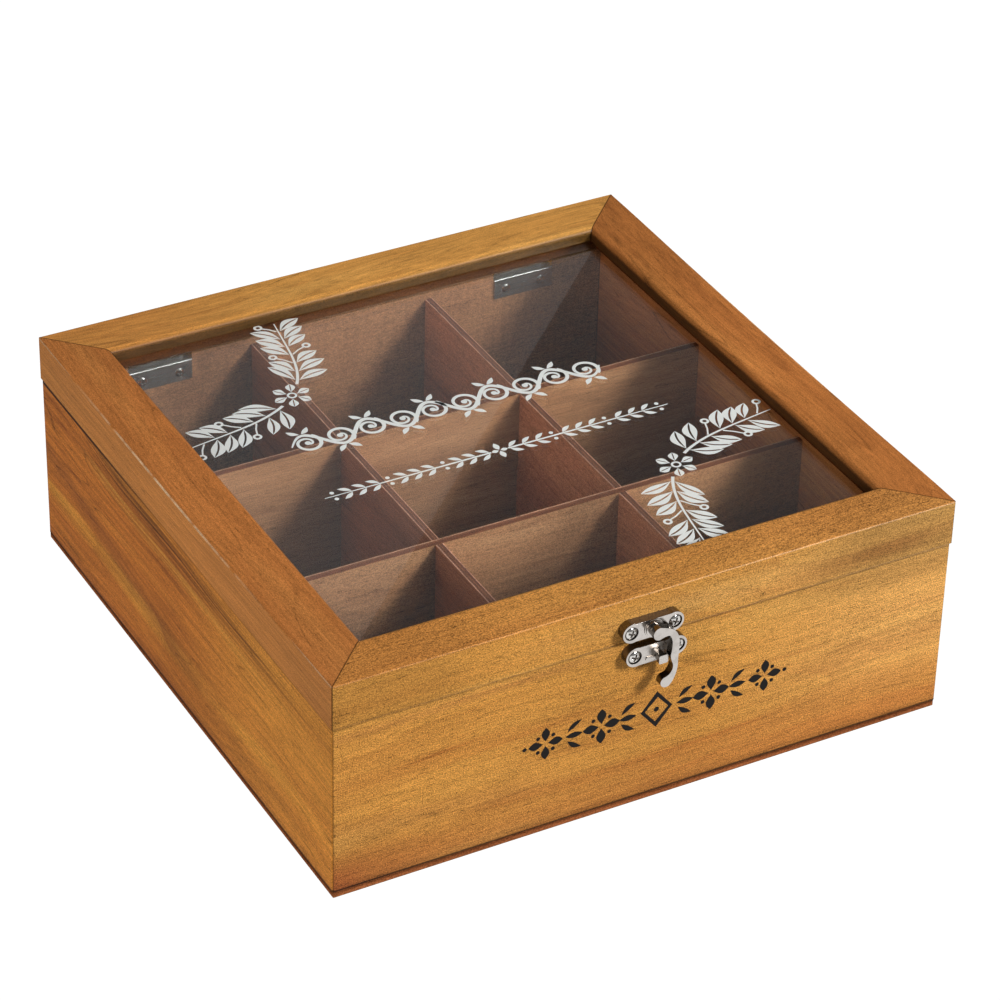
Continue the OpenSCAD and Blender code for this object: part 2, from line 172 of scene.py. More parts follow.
def wood(name, axis, base, brown, gold, seed=(0.0, 0.0, 0.0), band=1.0, streak=1.0, fibre=1.0,
         speck=1.0, pore=1.0, rough=0.55, zoned=None, coat=0.25, lines=0.5, grain=0.92):
    """Stained close-grained wood. axis is the grain direction. base, brown and gold are its three tones;
    zoned(g, colour, tone, sockets) adds what depends on the place on the box."""
    g = Graph(name)
    p, x, y, z = g.position()
    along, across, depth = (x, z, y) if axis == "X" else (y, z, x)
    sa, sc, sd = seed
    al = g.m("ADD", along, sa)
    ac = g.m("ADD", across, sc)
    de = g.m("ADD", depth, sd)
    # slow wander of the grain
    wander = g.noise(g.vec(g.m("MULTIPLY", al, 0.007), g.m("MULTIPLY", ac, 0.018), g.m("MULTIPLY", de, 0.018)), 1.0, 1.0)
    w = g.m("MULTIPLY", g.m("SUBTRACT", wander, 0.5), 22.0)
    u = g.sum(ac, w)
    d2 = g.m("MULTIPLY_ADD", de, 0.8, w)
    # broad soft bands, 8 to 20 mm
    bands = g.noise(g.vec(g.m("MULTIPLY", al, 0.0045), g.m("MULTIPLY", u, 0.085), g.m("MULTIPLY", d2, 0.085)), 1.0, 1.5, 0.5)
    # growth rings as the level lines of a slow field, soft on one side and sharp on the other
    field = g.noise(g.vec(g.m("MULTIPLY", al, 0.0035), g.m("MULTIPLY", u, 0.034), g.m("MULTIPLY", d2, 0.034)), 1.0, 0.6, 0.4)
    ring = g.m("FRACT", g.m("MULTIPLY", field, 13.0))
    ring = g.m("POWER", ring, 3.0)
    ring_on = g.step(g.noise(g.vec(g.m("MULTIPLY", al, 0.010), g.m("MULTIPLY", u, 0.06), g.m("MULTIPLY", d2, 0.06)), 1.0, 1.0), 0.40, 0.62)
    ring = g.m("MULTIPLY", ring, ring_on)
    # streaks, 2 to 4 mm
    streaks = g.noise(g.vec(g.m("MULTIPLY", al, 0.012), g.m("MULTIPLY", u, 0.42), g.m("MULTIPLY", d2, 0.42)), 1.0, 2.5, 0.55)
    # fibre, under 1 mm
    fib = g.noise(g.vec(g.m("MULTIPLY", al, 0.085), g.m("MULTIPLY", u, 1.9), g.m("MULTIPLY", d2, 1.9)), 1.0, 2.0, 0.6)
    # fine dull speckle left by sanding and stain
    sp = g.noise(g.vec(g.m("MULTIPLY", al, 2.4 * grain), g.m("MULTIPLY", ac, 4.0 * grain), g.m("MULTIPLY", de, 4.0 * grain)), 1.0, 1.5, 0.7)
    dash = g.noise(g.vec(g.m("MULTIPLY", al, 0.42), g.m("MULTIPLY", ac, 2.4), g.m("MULTIPLY", de, 2.4)), 1.0, 2.0, 0.65)
    # hairlines: thin level lines of a slow field
    slow = g.noise(g.vec(g.m("MULTIPLY", al, 0.0042), g.m("MULTIPLY", u, 0.060), g.m("MULTIPLY", d2, 0.060)), 1.0, 1.0, 0.5)
    hair = g.step(g.m("ABSOLUTE", g.m("SUBTRACT", g.m("FRACT", g.m("MULTIPLY", slow, 9.0)), 0.5)), 0.055, 0.0)
    hair_on = g.step(g.noise(g.vec(g.m("MULTIPLY", al, 0.02), g.m("MULTIPLY", u, 0.11), g.m("MULTIPLY", d2, 0.11)), 1.0, 1.5), 0.47, 0.60)
    hair = g.m("MULTIPLY", hair, hair_on)
    # thin streaks, about 1 mm
    thin = g.noise(g.vec(g.m("MULTIPLY", al, 0.011), g.m("MULTIPLY", u, 0.95), g.m("MULTIPLY", d2, 0.95)), 1.0, 2.0, 0.6)
    # short dark pores
    pr = g.noise(g.vec(g.m("MULTIPLY", al, 0.16), g.m("MULTIPLY", u, 2.3), g.m("MULTIPLY", d2, 2.3)), 1.0, 1.0, 0.5)
    pores = g.step(pr, 0.66, 0.76)
    # cloudy stain
    cloud = g.noise(g.vec(g.m("MULTIPLY", al, 0.022), g.m("MULTIPLY", ac, 0.045), g.m("MULTIPLY", de, 0.045)), 1.0, 2.0, 0.55)

    to_brown = g.m("ADD", g.prod(g.step(bands, 0.50, 0.78), 0.50 * band), g.prod(g.step(streaks, 0.54, 0.80), 0.42 * streak))
    to_brown = g.m("ADD", to_brown, g.prod(ring, 0.42 * band), clamp=True)
    to_gold = g.prod(g.step(bands, 0.50, 0.24), 0.75 * band)
    col = g.mix(to_gold, base, gold)
    col = g.mix(to_brown, col, brown)
    tone = g.sum(1.0,
                 g.m("MULTIPLY_ADD", streaks, -0.20 * streak, 0.10 * streak),
                 g.m("MULTIPLY_ADD", thin, -0.75 * lines, 0.375 * lines),
                 g.m("MULTIPLY", hair, -0.30 * lines),
                 g.m("MULTIPLY_ADD", fib, -0.56 * fibre, 0.28 * fibre),
                 g.m("MULTIPLY_ADD", sp, 2.9 * speck, -1.45 * speck),
                 g.m("MULTIPLY_ADD", dash, -0.8 * speck, 0.40 * speck),
                 g.m("MULTIPLY_ADD", cloud, -0.30, 0.15),
                 g.m("MULTIPLY", pores, -0.34 * pore))
    sockets = dict(thin=thin, hair=hair, p=p, x=x, y=y, z=z, u=u, al=al, ac=ac, de=de, fib=fib, sp=sp, streaks=streaks, cloud=cloud, bands=bands)
    if zoned:
        col, tone = zoned(g, col, tone, sockets)
    col = g.scale_color(col, tone)
    height = g.sum(g.m("MULTIPLY", fib, 0.5), g.m("MULTIPLY", sp, 0.25), g.m("MULTIPLY", pores, -0.6))
    nrm = g.bump(height, 0.22, 0.00012)
    r = g.sum(rough, g.m("MULTIPLY_ADD", fib, 0.10, -0.05), g.m("MULTIPLY_ADD", cloud, 0.10, -0.05), g.m("MULTIPLY", pores, 0.12))
    b = g.principled(col, r, nrm, Coat_Weight=coat, Coat_Roughness=0.38, Specular_IOR_Level=0.0)
    return g.output(b.outputs[0])


def near(g, v, centre, width):
    """1 where v is near centre, 0 beyond width."""
    return g.step(g.m("ABSOLUTE", g.m("SUBTRACT", v, centre)), width, 0.0)


def plateau(g, v, lo, hi, soft=0.12):
    """1 where v is from lo to hi, and 0 outside by more than soft."""
    return g.prod(g.step(v, lo - soft, lo), g.step(v, hi + soft, hi))


def groove_shade(g, tone, s, split=0.45, base=0.80):
    """Painted shade: dark lines in the gaps where the lid meets the case and where the base panel meets the walls."""
    wob = g.m("MULTIPLY_ADD", s["cloud"], 0.3, -0.15)
    a = g.step(g.m("ABSOLUTE", g.m("SUBTRACT", s["z"], SPLIT)), 1.15, 0.65)
    b = g.step(g.m("ABSOLUTE", g.m("SUBTRACT", g.m("ADD", s["z"], wob), 3.15)), 1.0, 0.45)
    return g.m("MULTIPLY", tone, g.m("SUBTRACT", 1.0, g.m("ADD", g.m("MULTIPLY", a, split), g.m("MULTIPLY", b, base))))


def mitre_mask(g, s):
    """The thin glue line where two members meet on the diagonal."""
    d = g.m("ABSOLUTE", g.m("SUBTRACT", g.m("ABSOLUTE", s["x"]), g.m("ABSOLUTE", s["y"])))
    wob = g.m("MULTIPLY", s["sp"], 0.16)
    return g.step(g.m("SUBTRACT", d, wob), 0.34, 0.10)


def arris_mask(g, s, half):
    """1 on the rounded upper outer edge of the lid."""
    o = g.m("MAXIMUM", g.m("ABSOLUTE", s["x"]), g.m("ABSOLUTE", s["y"]))
    return g.prod(g.step(o, half - 0.45, half - 0.2), g.step(s["z"], TOP - 0.55, TOP - 0.25))


DARKEN = srgb(70, 36, 16)


def front_zone(g, col, tone, s, lid=False):
    x, y, z = s["x"], s["y"], s["z"]
    # redder and darker towards the lower edge and the lower left corner
    low = g.step(z, 26.0, 3.0)
    left = g.step(x, -60.0, -120.0)
    red = g.m("MULTIPLY", low, g.m("MULTIPLY_ADD", left, 0.55, 0.40))
    red = g.m("MULTIPLY", red, g.m("MULTIPLY_ADD", s["cloud"], 1.1, 0.45), clamp=True)
    col = g.mix(red, col, srgb(170, 96, 50))
    tone = g.m("MULTIPLY", tone, g.m("SUBTRACT", 1.0, g.prod(g.step(z, 8.0, 3.2), 0.25)))
    # lighter to the right: painted light, as the key lamp stands to the right
    tone = g.m("MULTIPLY", tone, g.m("MULTIPLY_ADD", g.step(x, -60.0, 120.0), 0.13, 0.97))
    pale = g.prod(g.step(x, 10.0, 110.0), g.step(z, 4.0, 40.0), 0.35)
    col = g.mix(pale, col, srgb(214, 168, 104))
    # pale straw-coloured middle of the lid's front and browner bands on the right
    straw = g.prod(near(g, z, 79.0, 9.0), near(g, x, 20.0, 90.0), 0.45)
    col = g.mix(straw, col, srgb(205, 158, 92))
    bandy = g.sum(z, g.m("MULTIPLY", x, -0.045))
    dark = g.prod(near(g, bandy, 72.0, 6.0), g.step(x, 20.0, 60.0), g.step(x, 118.0, 95.0), 0.55)
    dark2 = g.prod(near(g, bandy, 31.0, 9.0), g.step(x, 45.0, 80.0), 0.42)
    dark3 = g.prod(near(g, g.sum(z, g.m("MULTIPLY", x, -0.02)), 68.0, 3.0), g.step(x, 0.0, -40.0), 0.40)
    dark4 = g.prod(near(g, g.sum(z, g.m("MULTIPLY", x, 0.05)), 20.0, 7.0), g.step(x, -20.0, -60.0), 0.35)
    m = g.m("MULTIPLY", g.sum(dark, dark2, dark3, dark4), g.m("MULTIPLY_ADD", s["streaks"], 1.6, 0.2), clamp=True)
    col = g.mix(m, col, srgb(166, 110, 58))
    # the lid's ends are darker than its middle, and so is the lowest left corner of the case
    ends = g.prod(g.step(z, SPLIT - 0.5, SPLIT + 0.5), g.m("MAXIMUM", g.prod(g.step(x, -55.0, -90.0), 0.22), g.prod(g.step(x, 40.0, 88.0), 0.40)))
    tone = g.m("MULTIPLY", tone, g.m("SUBTRACT", 1.0, ends))
    upper = g.prod(g.step(x, 20.0, 85.0), g.step(z, 54.0, 66.0), g.step(z, SPLIT + 0.5, SPLIT - 0.5), 0.30)
    tone = g.m("MULTIPLY", tone, g.m("SUBTRACT", 1.0, upper))
    calm = g.prod(near(g, x, 10.0, 75.0), g.step(z, 20.0, 60.0, 0.7, 1.0), 0.12)
    tone = g.m("MULTIPLY", tone, g.m("SUBTRACT", 1.0, calm))
    corner = g.prod(g.step(x, -70.0, -105.0), g.step(z, 34.0, 10.0), 0.16)
    tone = g.m("MULTIPLY", tone, g.m("SUBTRACT", 1.0, corner))
    return col, tone


def inner_tint(g, col, tone, s, color, amount=0.85):
    """The unvarnished inner faces of the walls."""
    o = g.m("MAXIMUM", g.m("ABSOLUTE", s["x"]), g.m("ABSOLUTE", s["y"]))
    inside = g.prod(g.step(o, 111.2, 110.7), g.step(s["z"], 71.0, 70.4))
    col = g.mix(g.m("MULTIPLY", inside, amount), col, color)
    return col, tone, inside


def zone_base(g, col, tone, s):
    """The panel's edge is painted dark as shade under the walls, with a painted highlight at the rounded lower edge."""
    z = s["z"]
    # painted highlight at the rounded lower edge
    lower_edge_highlight = g.prod(g.step(z, 1.9, 0.7), g.m("MULTIPLY_ADD", s["cloud"], 1.4, -0.1), 0.45)
    col = g.mix(lower_edge_highlight, col, srgb(206, 140, 80))
    # painted shade under the walls
    tone = g.m("MULTIPLY", tone, g.step(z, 3.0, 1.8, 0.42, 1.0))
    return col, tone


def zone_case_front(g, col, tone, s):
    col, tone = front_zone(g, col, tone, s)
    tone = groove_shade(g, tone, s, 0.42)
    col, tone, _ = inner_tint(g, col, tone, s, srgb(168, 118, 84))
    tone = g.m("MULTIPLY", tone, g.m("SUBTRACT", 1.0, g.prod(mitre_mask(g, s), 0.45)))
    return col, tone


def zone_case_rear(g, col, tone, s):
    tone = groove_shade(g, tone, s)
    col, tone, inside = inner_tint(g, col, tone, s, srgb(122, 86, 68))
    # fine upright figure on the inner face
    fig = g.noise(g.vec(g.m("MULTIPLY", s["x"], 0.55), g.m("MULTIPLY", s["y"], 0.5), g.m("MULTIPLY", s["z"], 0.09)), 1.0, 3.0, 0.6)
    tone = g.m("MULTIPLY", tone, g.m("ADD", 1.0, g.prod(inside, g.m("MULTIPLY_ADD", fig, 0.5, -0.25))))
    tone = g.m("MULTIPLY", tone, g.m("SUBTRACT", 1.0, g.prod(mitre_mask(g, s), 0.45)))
    return col, tone


def zone_case_side(g, col, tone, s):
    x, y, z = s["x"], s["y"], s["z"]
    # a group of strong dark and golden streaks just under the lid line on the left wall
    on_left = g.step(x, -100.0, -110.0)
    line = g.sum(z, g.m("MULTIPLY", y, -0.030), g.m("MULTIPLY", s["cloud"], 4.0))
    run = g.prod(g.step(y, 95.0, 60.0), g.step(y, -95.0, -40.0, 0.35, 1.0))
    fine = g.step(g.noise(g.vec(g.m("MULTIPLY", s["al"], 0.010), g.m("MULTIPLY", s["u"], 0.9), g.m("MULTIPLY", s["de"], 0.9)), 1.0, 2.0, 0.6), 0.42, 0.60)
    darks = g.prod(on_left, run, near(g, line, 66.5, 6.5), g.m("MULTIPLY_ADD", fine, 0.75, 0.20))
    golds = g.prod(on_left, run, near(g, line, 59.0, 4.5), g.m("MULTIPLY_ADD", fine, -0.7, 0.75))
    col = g.mix(golds, col, srgb(206, 144, 62))
    dark_on = darks
    # wide darker tongue low on the rear part
    tongue = g.prod(on_left, near(g, g.sum(z, g.m("MULTIPLY", y, -0.16)), 22.0, 7.0), g.step(y, -60.0, 30.0), 0.42)
    col = g.mix(tongue, col, srgb(130, 74, 38))
    # yellower and lighter towards the front
    fore = g.prod(g.step(y, 15.0, -80.0), g.m("MULTIPLY_ADD", s["bands"], -0.9, 1.30), g.step(z, 12.0, 58.0, 0.72, 0.88))
    col = g.mix(fore, col, srgb(210, 142, 58))
    col = g.mix(dark_on, col, srgb(96, 56, 24))
    dull = g.prod(on_left, near(g, y, 5.0, 60.0), g.step(z, 48.0, 22.0), 0.16)
    tone = g.m("MULTIPLY", tone, g.m("SUBTRACT", 1.0, dull))
    lit = g.prod(on_left, g.step(y, -55.0, -95.0), g.step(z, 40.0, 20.0), 0.10)
    tone = g.m("MULTIPLY", tone, g.m("ADD", 1.0, lit))
    low = g.prod(g.step(z, 10.0, 3.0), 0.40)
    col = g.mix(low, col, srgb(150, 82, 40))
    # one long hairline crack
    crack = near(g, g.sum(z, g.m("MULTIPLY", y, 0.02), g.m("MULTIPLY", s["cloud"], 3.0)), 44.0, 0.45)
    crack = g.prod(on_left, crack, near(g, y, -30.0, 60.0), 0.55)
    col = g.mix(crack, col, srgb(84, 44, 20))
    # painted shadow in the gap where the lid meets the case
    gap = g.prod(g.step(y, -20.0, 90.0), g.step(g.m("ABSOLUTE", g.m("SUBTRACT", z, SPLIT)), 0.9, 0.45), 0.88)
    tone = g.m("MULTIPLY", tone, g.m("SUBTRACT", 1.0, gap))
    # painted shadow: a dark slit just under the lid line on the left wall, widening the shadow of the gap
    slit = g.prod(on_left, g.step(z, 68.6, 69.1), g.step(y, 5.0, 75.0), 0.86)
    tone = g.m("MULTIPLY", tone, g.m("SUBTRACT", 1.0, slit))
    tone = groove_shade(g, tone, s, 0.35)
    col, tone, _ = inner_tint(g, col, tone, s, srgb(150, 96, 66), 0.7)
    tone = g.m("MULTIPLY", tone, g.m("SUBTRACT", 1.0, g.prod(mitre_mask(g, s), 0.40)))
    return col, tone


def lid_common(g, col, tone, s, edge=0.40):
    tone = g.m("MULTIPLY", tone, g.m("SUBTRACT", 1.0, g.prod(mitre_mask(g, s), 0.72)))
    tone = groove_shade(g, tone, s, 0.12)
    # painted highlight along the rounded upper outer edge of the lid; edge is its strength
    col = g.mix(g.prod(arris_mask(g, s, HALF), edge), col, srgb(232, 200, 160))
    # painted shade: the rounded inner edge is darkened towards the glass so that it does not catch the key lamp; the
    # inside below the rim is painted dark as shade
    o = g.m("MAXIMUM", g.m("ABSOLUTE", s["x"]), g.m("ABSOLUTE", s["y"]))
    ragged_z = g.m("ADD", s["z"], g.m("MULTIPLY_ADD", s["sp"], 1.6, -0.8))
    shoulder = g.prod(g.step(o, RIM + 2.6, RIM + 1.6), g.step(s["z"], TOP - 0.1, TOP - 0.9))
    inner = g.prod(g.step(o, RIM + 2.0, RIM + 0.2), g.step(ragged_z, TOP - 1.2, TOP - 2.6))
    under = g.prod(g.step(o, 111.4, 110.9), g.step(s["z"], 82.8, 82.3))
    col = g.mix(g.m("MULTIPLY", under, 0.8), col, srgb(92, 50, 24))
    tone = g.m("MULTIPLY", tone, g.m("SUBTRACT", 1.0, g.prod(shoulder, 0.24)))
    tone = g.m("MULTIPLY", tone, g.m("SUBTRACT", 1.0, g.prod(inner, 0.50)))
    return col, tone


def zone_lid_front(g, col, tone, s):
    col, tone = front_zone(g, col, tone, s)
    # upper face: a shade browner than the front face
    up = g.step(s["z"], TOP - 0.5, TOP - 0.1)
    col = g.mix(g.prod(up, 0.40), col, srgb(184, 122, 64))
    col = g.mix(g.prod(up, g.step(s["x"], 20.0, 90.0), 0.45), col, srgb(182, 112, 48))
    col = g.mix(g.prod(up, g.step(s["x"], -30.0, -100.0), 0.40), col, srgb(172, 102, 46))
    back_up = g.m("MAXIMUM", g.prod(g.step(s["x"], -55.0, -90.0), 0.14), g.prod(g.step(s["x"], 40.0, 88.0), 0.36))
    tone = g.m("MULTIPLY", tone, g.m("MULTIPLY_ADD", up, g.m("ADD", 0.16, back_up), 1.0))
    # painted highlight on the front's upper edge, faint on the left and stronger to the right
    return lid_common(g, col, tone, s, g.prod(g.step(s["x"], -70.0, 60.0, 0.03, 0.20), 1.0))


def zone_lid_rear(g, col, tone, s):
    tone = g.m("MULTIPLY", tone, g.m("MULTIPLY_ADD", g.step(s["x"], -120.0, 20.0), 0.10, 0.94))
    col = g.mix(g.prod(g.step(s["x"], -20.0, -100.0), 0.5), col, srgb(200, 128, 62))
    # painted shade: the edge towards the glass, its rounded lip and the face below it, is darkened as shade
    edge = g.prod(g.step(s["y"], RIM + 1.9, RIM + 1.1), g.step(s["z"], TOP - 0.6, TOP - 1.6), 0.66)
    lip = g.prod(g.step(s["y"], RIM + 3.4, RIM + 2.2), g.step(s["z"], TOP - 0.02, TOP - 0.5), 0.18)
    tone = g.m("MULTIPLY", tone, g.m("SUBTRACT", 1.0, g.m("MAXIMUM", edge, lip)))
    return lid_common(g, col, tone, s)


def zone_lid_side(g, col, tone, s):
    # painted shade: the right member's inner side, which faces away from the key lamp, is darkened nearly to black
    dark = g.prod(g.step(s["x"], 0.0, 1.0), g.step(s["x"], RIM + 1.4, RIM + 0.5), g.step(s["z"], TOP - 1.0, TOP - 2.4), 0.62)
    tone = g.m("MULTIPLY", tone, g.m("SUBTRACT", 1.0, dark))
    tone = g.m("MULTIPLY", tone, g.m("MULTIPLY_ADD", near(g, s["y"], 5.0, 120.0), 0.16, 0.88))
    # painted shadow in the gap where the lid meets the case
    gap = g.prod(g.step(s["y"], -20.0, 90.0), g.step(g.m("ABSOLUTE", g.m("SUBTRACT", s["z"], SPLIT)), 0.6, 0.3), 0.8)
    tone = g.m("MULTIPLY", tone, g.m("SUBTRACT", 1.0, gap))
    tone = g.m("MULTIPLY", tone, g.m("SUBTRACT", 1.0, g.prod(g.step(s["x"], 0.0, 1.0), g.step(s["y"], 10.0, 90.0), 0.09)))
    ax = g.m("ABSOLUTE", s["x"])
    # the outer face is a little yellower than the top
    face = g.prod(g.step(ax, HALF - 0.3, HALF - 0.1), 0.35)
    col = g.mix(face, col, srgb(204, 138, 62))
    # painted highlight: a pale line along the lower edge of the sanded facet
    q = g.m("DIVIDE", s["y"], 120.0)
    edge = g.m("SUBTRACT", g.m("SUBTRACT", TOP, s["z"]), g.m("MULTIPLY_ADD", g.m("MULTIPLY", q, q), -1.3, 1.3))
    line = g.prod(g.step(ax, HALF - 0.8, HALF - 0.3), g.step(g.m("ABSOLUTE", edge), 0.34, 0.16),
                  g.step(g.noise(g.vec(g.m("MULTIPLY", s["y"], 0.12), 0.0, 0.0), 1.0, 2.0), 0.36, 0.52), near(g, s["y"], 10.0, 95.0), 0.65)
    col = g.mix(line, col, srgb(236, 208, 168))
    return lid_common(g, col, tone, s)


GOLD_BASE = srgb(196, 138, 64)
GOLD_BROWN = srgb(174, 110, 50)
GOLD_GOLD = srgb(212, 158, 80)
REAR_BASE = srgb(207, 147, 73)
REAR_BROWN = srgb(184, 117, 55)
REAR_GOLD = srgb(222, 166, 88)
SIDE_BASE = srgb(191, 113, 45)
SIDE_BROWN = srgb(148, 82, 34)
SIDE_GOLD = srgb(212, 144, 58)
LIDS_BASE = srgb(188, 117, 59)
LIDS_BROWN = srgb(160, 94, 47)
LIDS_GOLD = srgb(200, 132, 68)

front_seed = (37.0, 11.0, 23.0)
mats = {
    "front": wood("case_front_wood", "X", GOLD_BASE, GOLD_BROWN, GOLD_GOLD, front_seed, speck=1.3, pore=1.5, lines=0.68, grain=0.85, zoned=zone_case_front),
    "rear": wood("case_rear_wood", "X", GOLD_BASE, GOLD_BROWN, GOLD_GOLD, (310.0, 95.0, 60.0), zoned=zone_case_rear),
    "side": wood("case_side_wood", "Y", SIDE_BASE, SIDE_BROWN, SIDE_GOLD, (120.0, 240.0, 15.0), band=1.3, streak=1.6, coat=0.15, lines=1.25, speck=0.66, zoned=zone_case_side),
    "lid_front": wood("lid_front_wood", "X", GOLD_BASE, GOLD_BROWN, GOLD_GOLD, front_seed, speck=1.15, pore=1.2, lines=0.55, grain=0.85, zoned=zone_lid_front),
    "lid_rear": wood("lid_rear_wood", "X", REAR_BASE, REAR_BROWN, REAR_GOLD, (530.0, 40.0, 90.0), band=0.9, speck=0.62, lines=1.1, zoned=zone_lid_rear),
    "lid_left": wood("lid_left_wood", "Y", LIDS_BASE, LIDS_BROWN, LIDS_GOLD, (720.0, 310.0, 45.0), band=0.9, streak=1.2, coat=0.18, lines=1.0, speck=0.62, zoned=zone_lid_side),
    "lid_right": wood("lid_right_wood", "Y", LIDS_BASE, LIDS_BROWN, LIDS_GOLD, (860.0, 150.0, 75.0), band=0.9, streak=1.2, coat=0.18, lines=1.0, speck=0.62, zoned=zone_lid_side),
    "bead_x": wood("glass_bead_x_wood", "X", srgb(84, 48, 26), srgb(58, 32, 17), srgb(98, 59, 32), (44.0, 400.0, 12.0), zoned=None, rough=0.6, coat=0.0),
    "bead_y": wood("glass_bead_y_wood", "Y", srgb(80, 46, 25), srgb(58, 31, 16), srgb(92, 56, 30), (144.0, 470.0, 52.0), zoned=None, rough=0.6, coat=0.0),
    "base": wood("base_panel_wood", "X", srgb(150, 88, 52), srgb(104, 56, 32), srgb(168, 104, 62), (12.0, 610.0, 33.0), band=0.8, rough=0.6, coat=0.0, zoned=zone_base),
}


# ------------------------------------------------------------------ plywood dividers

CRATE_X, CRATE_Y, OFF, PLY = -1.1, 0.5, 36.5, 3.0
DIV_TOP = 67.0


def plywood(name, axis, centre, base, brown, gold, seed):
    """Thin stained plywood. axis is the board's length; centre is its place across."""

    def zoned(g, col, tone, s):
        x, y, z = s["x"], s["y"], s["z"]
        t = g.m("SUBTRACT", y if axis == "X" else x, centre)  # through the thickness, -1.5 to 1.5
        top = g.step(z, DIV_TOP - 0.25, DIV_TOP - 0.05)
        wob = g.m("MULTIPLY_ADD", s["fib"], 0.5, -0.25)
        tt = g.m("ADD", t, wob)
        if axis == "X":
            # light rear veneer, dark core and face
            light = g.step(tt, 0.75, 1.05)
            core = g.step(tt, 0.4, -0.2)
            edge = g.mix(light, srgb(118, 72, 50), srgb(186, 140, 112))
            edge = g.mix(g.m("MULTIPLY", core, 0.5), edge, srgb(96, 56, 38))
        else:
            a = g.m("ABSOLUTE", tt)
            light = g.step(a, 0.95, 1.15)
            mid = g.step(a, 0.35, 0.1)
            edge = g.mix(light, srgb(100, 62, 46), srgb(180, 132, 108))
            edge = g.mix(g.m("MULTIPLY", mid, 0.45), edge, srgb(140, 92, 68))
        col = g.mix(top, col, edge)
        return col, tone

    return wood(name, axis, base, brown, gold, seed, band=0.7, streak=0.9, fibre=1.1, speck=0.9, pore=1.2,
                rough=0.62, zoned=zoned, coat=0.0)


PLY_BASE, PLY_BROWN, PLY_GOLD = srgb(152, 110, 78), srgb(120, 80, 53), srgb(168, 126, 91)
mats["ply_xf"] = plywood("divider_x_front_ply", "X", CRATE_Y - OFF, PLY_BASE, PLY_BROWN, PLY_GOLD, (15.0, 720.0, 5.0))
mats["ply_xr"] = plywood("divider_x_rear_ply", "X", CRATE_Y + OFF, PLY_BASE, PLY_BROWN, PLY_GOLD, (415.0, 820.0, 55.0))
mats["ply_yl"] = plywood("divider_y_left_ply", "Y", CRATE_X - OFF, srgb(187, 119, 82), srgb(150, 90, 57), srgb(204, 136, 93), (215.0, 920.0, 35.0))
mats["ply_yr"] = plywood("divider_y_right_ply", "Y", CRATE_X + OFF, srgb(187, 119, 82), srgb(150, 90, 57), srgb(204, 136, 93), (615.0, 1020.0, 85.0))


# ------------------------------------------------------------------ glass, nickel, prints


def glass_material():
    g = Graph("clear_glass")
    b = g.add("ShaderNodeBsdfPrincipled")
    b.inputs["Base Color"].default_value = (0.97, 0.985, 0.975, 1.0)
    b.inputs["Transmission Weight"].default_value = 1.0
    b.inputs["IOR"].default_value = 1.5
    p, x, y, z = g.position()
    smear = g.noise(p, 0.02, 2.0, 0.5)
    g.put(b.inputs["Roughness"], g.m("MULTIPLY", g.step(smear, 0.45, 0.75), 0.004))
    t = g.add("ShaderNodeBsdfTransparent")
    t.inputs["Color"].default_value = (0.90, 0.92, 0.91, 1.0)
    lp = g.add("ShaderNodeLightPath")
    mix = g.add("ShaderNodeMixShader")
    g.put(mix.inputs[0], lp.outputs["Is Shadow Ray"])
    g.links.new(b.outputs[0], mix.inputs[1])
    g.links.new(t.outputs[0], mix.inputs[2])
    return g.output(mix.outputs[0])


def nickel_material(name="bright_nickel", color=(0.80, 0.78, 0.75), rough=0.13, bump=0.08, metal=1.0):
    g = Graph(name)
    p, x, y, z = g.position()
    fine = g.noise(p, 2.4, 3.0, 0.6)
    slow = g.noise(p, 0.35, 2.0, 0.5)
    worn = g.step(slow, 0.45, 0.75)
    col = g.mix(g.m("MULTIPLY", worn, 0.35), color, tuple(c * 0.86 for c in color))
    r = g.sum(rough, g.m("MULTIPLY", worn, 0.06), g.m("MULTIPLY_ADD", fine, 0.06, -0.03))
    b = g.principled(col, r, g.bump(g.sum(fine, g.m("MULTIPLY", slow, 2.0)), bump, 0.0002), Metallic=metal)
    return g.output(b.outputs[0])


def print_material(name, color, rough, spec=0.5):
    g = Graph(name)
    p, x, y, z = g.position()
    fine = g.noise(p, 1.6, 3.0, 0.6)
    slow = g.noise(p, 0.12, 2.0, 0.5)
    tone = g.sum(0.92, g.m("MULTIPLY", fine, 0.10), g.m("MULTIPLY", slow, 0.08))
    b = g.principled(g.scale_color(color, tone), g.m("MULTIPLY_ADD", fine, 0.1, rough), g.bump(fine, 0.1, 0.00005), Specular_IOR_Level=spec)
    return g.output(b.outputs[0])


